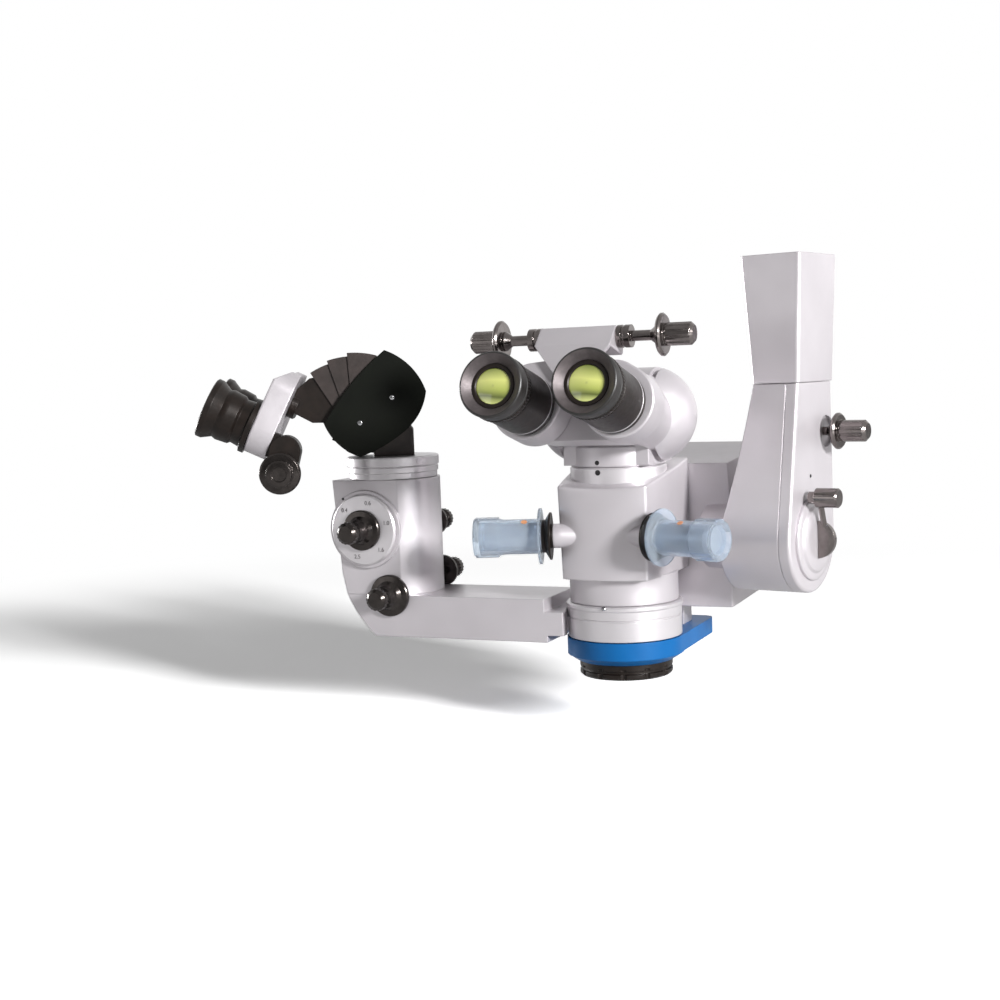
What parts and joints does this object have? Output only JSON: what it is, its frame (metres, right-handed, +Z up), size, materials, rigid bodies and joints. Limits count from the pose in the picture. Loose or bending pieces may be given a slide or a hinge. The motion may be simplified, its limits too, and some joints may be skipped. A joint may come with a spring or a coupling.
{
  "type": "surgical microscope head",
  "caption": "Hanging surgical microscope head with a tilting carrier, a surgeon's binocular tube and a swivelling side microscope for an assistant.",
  "frame": {"origin": "centre of the mouth of the stand socket on top of the upper arm housing", "axes": "+Z up along the socket, out of its mouth; -Y towards the surgeon; -X towards the assistant's microscope"},
  "size_m": [0.492, 0.266, 0.29],
  "materials": {
    "silver_paint": "satin silver grey enamel, slightly warm",
    "satin_ring": "fine turned satin",
    "blue_paint": "glossy bright blue",
    "black_anodised": "black anodised, satin",
    "black_sheet": "matt black with a brown tinge",
    "black_plastic": "fluted, satin",
    "eyecup_rubber": "smooth matt",
    "cap_silicone": "pale blue, translucent, frosted",
    "steel": "ground",
    "bronze": "plain bearing metal",
    "coated_glass": "yellow green coating"
  },
  "bodies": {
    "stand_head": {"upper_arm_housing": "silver_paint", "swivel_bushes": "bronze"},
    "lower_arm": {"arm_case_left": "silver_paint", "arm_case_right": "silver_paint", "swivel_spindle": "steel", "tilt_bearings": "bronze", "tilt_dome": "silver_paint"},
    "swivel_brake": {"swivel_brake_knob": "black_plastic"},
    "tilt_brake": {"tilt_lever": "black_plastic"},
    "microscope_head": {"carrier_housing": "silver_paint", "tilt_axle": "steel", "body_casing": "silver_paint", "turret_ring": "satin_ring", "accessory_ring": "blue_paint", "objective_cell": "black_anodised", "objective_lens": "coated_glass", "zoom_guide_rods": "steel"},
    "zoom_upper": {"zoom_cell_upper": "black_anodised"},
    "zoom_lower": {"zoom_cell_lower": "black_anodised"},
    "left_knob": {"left_hand_knob": "black_anodised"},
    "right_knob": {"right_hand_knob": "black_anodised"},
    "left_cap": {"left_sterile_cap": "cap_silicone"},
    "right_cap": {"right_sterile_cap": "cap_silicone"},
    "tube_foot": {"tube_base": "silver_paint", "tube_tilt_pin": "steel"},
    "tube_tilt": {"tilt_housing": "silver_paint", "spindle_block": "silver_paint"},
    "distance_shaft": {"distance_spindle": "black_plastic"},
    "left_ocular": {"left_prism_housing": "silver_paint", "left_eyepiece_barrel": "black_anodised"},
    "right_ocular": {"right_prism_housing": "silver_paint", "right_eyepiece_barrel": "black_anodised"},
    "left_cup": {"left_eyecup": "eyecup_rubber", "left_eye_lens": "coated_glass"},
    "right_cup": {"right_eyecup": "eyecup_rubber", "right_eye_lens": "coated_glass"},
    "assistant_arm": {"assistant_ring": "satin_ring", "assistant_bar": "silver_paint", "assistant_column": "silver_paint"},
    "magnification": {"magnification_dial": "satin_ring", "magnification_knob": "black_plastic", "changer_drum": "black_anodised"},
    "rear_upper": {"rear_upper_knob": "black_plastic"},
    "rear_lower": {"rear_lower_knob": "black_plastic"},
    "assistant_focus": {"focus_knob": "black_plastic"},
    "assistant_swivel": {"assistant_swivel_ring": "satin_ring", "assistant_foot": "black_sheet", "assistant_side_plates": "black_sheet"},
    "assistant_tilt": {"assistant_tube_housing": "black_anodised"},
    "assistant_left_ocular": {"assistant_left_prism_housing": "silver_paint", "assistant_left_eyepiece": "black_anodised", "assistant_left_eye_lens": "coated_glass"},
    "assistant_right_ocular": {"assistant_right_prism_housing": "silver_paint", "assistant_right_eyepiece": "black_anodised", "assistant_right_eye_lens": "coated_glass", "assistant_knob_bracket": "black_anodised"},
    "assistant_distance": {"assistant_distance_knob": "black_plastic"},
    "lamella_1": {"shield_lamella_1": "black_sheet"},
    "lamella_2": {"shield_lamella_2": "black_sheet"},
    "lamella_3": {"shield_lamella_3": "black_sheet"}
  },
  "joints": [
    {"name": "arm_swivel", "type": "hinge", "parent": "stand_head", "child": "lower_arm", "pos_m": [0, 0, -0.088], "axis": [0, 0, 1], "range_deg": [-150, 150]},
    {"name": "swivel_brake_turn", "type": "hinge", "parent": "lower_arm", "child": "swivel_brake", "pos_m": [0.01988, 0.01418, -0.123], "axis": [0.9781, -0.2079, 0], "range_deg": [0, 90]},
    {"name": "tilt_lever_swing", "type": "hinge", "parent": "lower_arm", "child": "tilt_brake", "pos_m": [0.01437, -0.01174, -0.196], "axis": [0.9781, -0.2079, 0], "range_deg": [-40, 20]},
    {"name": "head_tilt", "type": "hinge", "parent": "lower_arm", "child": "microscope_head", "pos_m": [0.01437, -0.01174, -0.196], "axis": [0.9781, -0.2079, 0], "range_deg": [-15, 40]},
    {"name": "zoom_upper_slide", "type": "slide", "parent": "microscope_head", "child": "zoom_upper", "axis": [0, 0, 1], "range_m": [-0.0225, 0.0075]},
    {"name": "zoom_lower_slide", "type": "slide", "parent": "microscope_head", "child": "zoom_lower", "axis": [0, 0, 1], "range_m": [-0.0095, 0.0285]},
    {"name": "right_knob_turn", "type": "hinge", "parent": "microscope_head", "child": "right_knob", "pos_m": [-0.07158, -0.08642, -0.1874], "axis": [0.9578, -0.2874, 0], "range_deg": [-90, 270]},
    {"name": "left_knob_turn", "type": "hinge", "parent": "microscope_head", "child": "left_knob", "pos_m": [-0.15778, -0.08642, -0.1874], "axis": [-0.9578, -0.2874, 0], "range_deg": [-270, 90]},
    {"name": "left_cap_pull", "type": "slide", "parent": "left_knob", "child": "left_cap", "axis": [-0.9578, -0.2874, 0], "range_m": [0, 0.045]},
    {"name": "right_cap_pull", "type": "slide", "parent": "right_knob", "child": "right_cap", "axis": [0.9578, -0.2874, 0], "range_m": [0, 0.045]},
    {"name": "tube_turn", "type": "hinge", "parent": "microscope_head", "child": "tube_foot", "pos_m": [-0.11468, -0.04482, -0.141], "axis": [0, 0, 1], "range_deg": [-25, 20]},
    {"name": "tube_tilt_turn", "type": "hinge", "parent": "tube_foot", "child": "tube_tilt", "pos_m": [-0.11468, -0.04482, -0.1065], "axis": [1, 0, 0], "range_deg": [-45, 14]},
    {"name": "left_ocular_swing", "type": "hinge", "parent": "tube_tilt", "child": "left_ocular", "pos_m": [-0.12668, -0.10882, -0.08262], "axis": [0, -0.9659, 0.2588], "range_deg": [-26, 16]},
    {"name": "left_diopter_turn", "type": "hinge", "parent": "left_ocular", "child": "left_cup", "pos_m": [-0.14568, -0.13499, -0.09528], "axis": [0, -0.9659, 0.2588], "range_deg": [-180, 180]},
    {"name": "right_ocular_swing", "type": "hinge", "parent": "tube_tilt", "child": "right_ocular", "pos_m": [-0.10268, -0.10882, -0.08262], "axis": [0, -0.9659, 0.2588], "range_deg": [-16, 26]},
    {"name": "right_diopter_turn", "type": "hinge", "parent": "right_ocular", "child": "right_cup", "pos_m": [-0.08368, -0.13499, -0.09528], "axis": [0, -0.9659, 0.2588], "range_deg": [-180, 180]},
    {"name": "distance_shaft_turn", "type": "hinge", "parent": "tube_tilt", "child": "distance_shaft", "pos_m": [-0.11468, -0.11217, -0.05263], "axis": [1, 0, 0], "range_deg": [-160, 260]},
    {"name": "assistant_turn", "type": "hinge", "parent": "microscope_head", "child": "assistant_arm", "pos_m": [-0.11468, -0.04082, -0.262], "axis": [0, 0, 1], "range_deg": [-8, 12]},
    {"name": "magnification_turn", "type": "hinge", "parent": "assistant_arm", "child": "magnification", "pos_m": [-0.30468, -0.04082, -0.1855], "axis": [0, -1, 0], "continuous": true},
    {"name": "assistant_focus_turn", "type": "hinge", "parent": "assistant_arm", "child": "assistant_focus", "pos_m": [-0.28668, -0.04082, -0.2345], "axis": [0, -1, 0], "range_deg": [-270, 270]},
    {"name": "rear_upper_turn", "type": "hinge", "parent": "assistant_arm", "child": "rear_upper", "pos_m": [-0.27868, -0.01082, -0.1855], "axis": [0, 1, 0], "range_deg": [0, 180]},
    {"name": "rear_lower_turn", "type": "hinge", "parent": "assistant_arm", "child": "rear_lower", "pos_m": [-0.27268, -0.01082, -0.224], "axis": [0, 1, 0], "range_deg": [0, 180]},
    {"name": "assistant_tube_turn", "type": "hinge", "parent": "assistant_arm", "child": "assistant_swivel", "pos_m": [-0.29568, -0.04082, -0.149], "axis": [0, 0, 1], "range_deg": [-110, 35]},
    {"name": "assistant_tilt_turn", "type": "hinge", "parent": "assistant_swivel", "child": "assistant_tilt", "pos_m": [-0.31947, -0.05294, -0.1192], "axis": [-0.454, 0.891, 0], "range_deg": [-5, 38]},
    {"name": "lamella_1_fan", "type": "hinge", "parent": "assistant_swivel", "child": "lamella_1", "pos_m": [-0.31947, -0.05294, -0.1192], "axis": [-0.454, 0.891, 0], "range_deg": [-4, 30.4]},
    {"name": "lamella_2_fan", "type": "hinge", "parent": "assistant_swivel", "child": "lamella_2", "pos_m": [-0.31947, -0.05294, -0.1192], "axis": [-0.454, 0.891, 0], "range_deg": [-2.65, 20.14]},
    {"name": "lamella_3_fan", "type": "hinge", "parent": "assistant_swivel", "child": "lamella_3", "pos_m": [-0.31947, -0.05294, -0.1192], "axis": [-0.454, 0.891, 0], "range_deg": [-1.35, 10.26]},
    {"name": "assistant_left_ocular_swing", "type": "hinge", "parent": "assistant_tilt", "child": "assistant_left_ocular", "pos_m": [-0.36829, -0.06435, -0.09469], "axis": [-0.7995, -0.4073, 0.4415], "range_deg": [-22, 14]},
    {"name": "assistant_right_ocular_swing", "type": "hinge", "parent": "assistant_tilt", "child": "assistant_right_ocular", "pos_m": [-0.3574, -0.08573, -0.09469], "axis": [-0.7995, -0.4073, 0.4415], "range_deg": [-14, 22]},
    {"name": "assistant_distance_turn", "type": "hinge", "parent": "assistant_right_ocular", "child": "assistant_distance", "pos_m": [-0.35235, -0.10673, -0.13958], "axis": [0.454, -0.891, 0], "range_deg": [-140, 220]}
  ],
  "couplings": [
    {"joint": "zoom_upper_slide", "follows": "right_knob_turn", "m_per_rad": -0.0047746},
    {"joint": "zoom_lower_slide", "follows": "right_knob_turn", "m_per_rad": 0.0060479},
    {"joint": "left_knob_turn", "follows": "right_knob_turn", "ratio": -1},
    {"joint": "left_ocular_swing", "follows": "right_ocular_swing", "ratio": -1},
    {"joint": "distance_shaft_turn", "follows": "right_ocular_swing", "ratio": 10},
    {"joint": "assistant_left_ocular_swing", "follows": "assistant_right_ocular_swing", "ratio": -1},
    {"joint": "assistant_distance_turn", "follows": "assistant_right_ocular_swing", "ratio": 10},
    {"joint": "lamella_1_fan", "follows": "assistant_tilt_turn", "ratio": 0.8},
    {"joint": "lamella_2_fan", "follows": "assistant_tilt_turn", "ratio": 0.53},
    {"joint": "lamella_3_fan", "follows": "assistant_tilt_turn", "ratio": 0.27}
  ]
}
